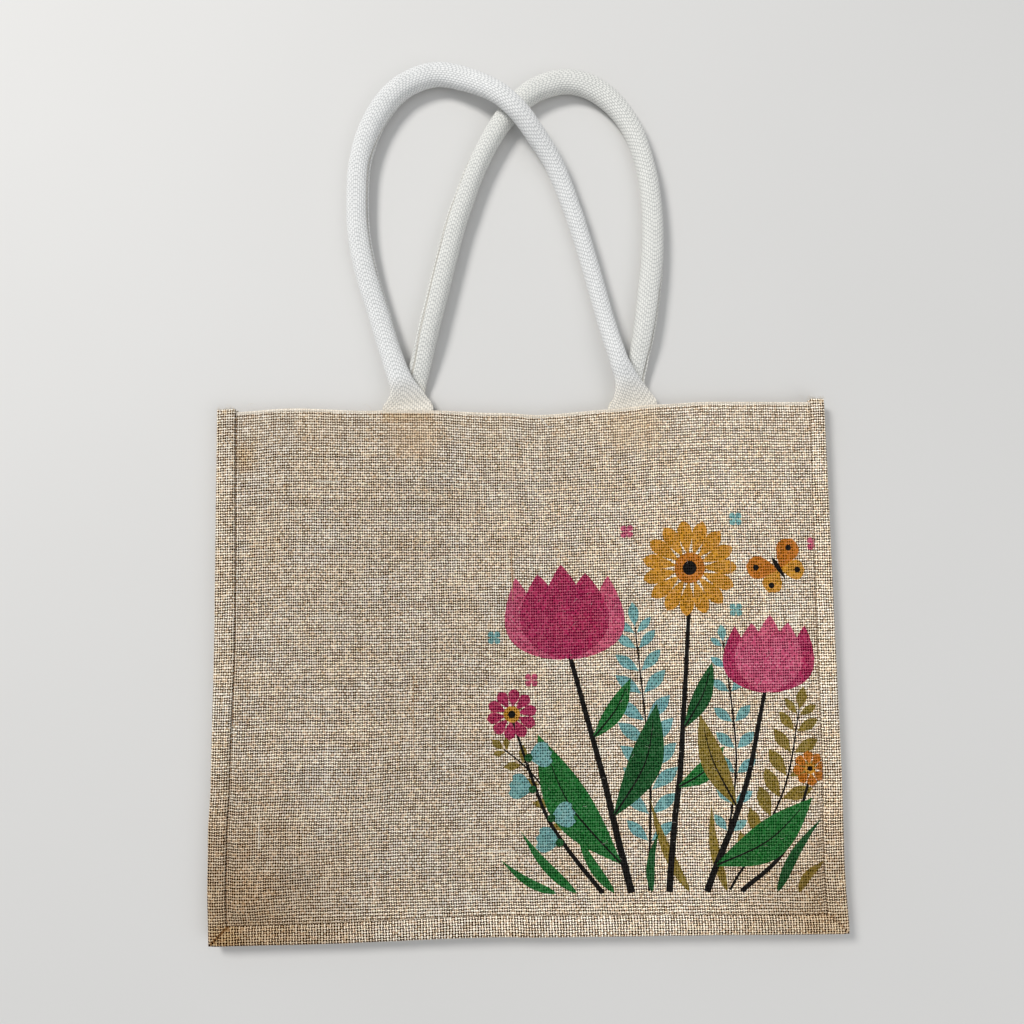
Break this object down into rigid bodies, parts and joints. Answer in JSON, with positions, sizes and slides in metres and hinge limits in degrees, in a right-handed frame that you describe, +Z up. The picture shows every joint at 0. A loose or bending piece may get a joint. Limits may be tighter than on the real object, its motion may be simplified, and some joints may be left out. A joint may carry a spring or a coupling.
{
  "type": "jute tote bag",
  "caption": "Jute tote bag lying flat on its back, with bound edges, gussets folded in and long rolled cotton handles.",
  "frame": {"origin": "middle of the bounding box's footprint, on the surface that the bag lies on", "axes": "+Y from the bag's base to its handles, +Z up out of the front panel, +X to the right as the front panel is looked at"},
  "size_m": [0.4426, 0.6363, 0.0268],
  "materials": {
    "jute_front": "coarse plain weave, printed",
    "jute_back": "coarse plain weave",
    "jute_side": "coarse plain weave",
    "jute_binding": "coarse plain weave, stitched",
    "cotton_webbing": "matte twill webbing"
  },
  "bodies": {
    "root": {"back_panel": "jute_back", "front_panel": "jute_front", "side_gusset_left": "jute_side", "side_gusset_right": "jute_side", "base_gusset": "jute_side", "back_binding": "jute_binding", "front_binding": "jute_binding", "handle_back": "cotton_webbing", "handle_front": "cotton_webbing"}
  },
  "joints": []
}
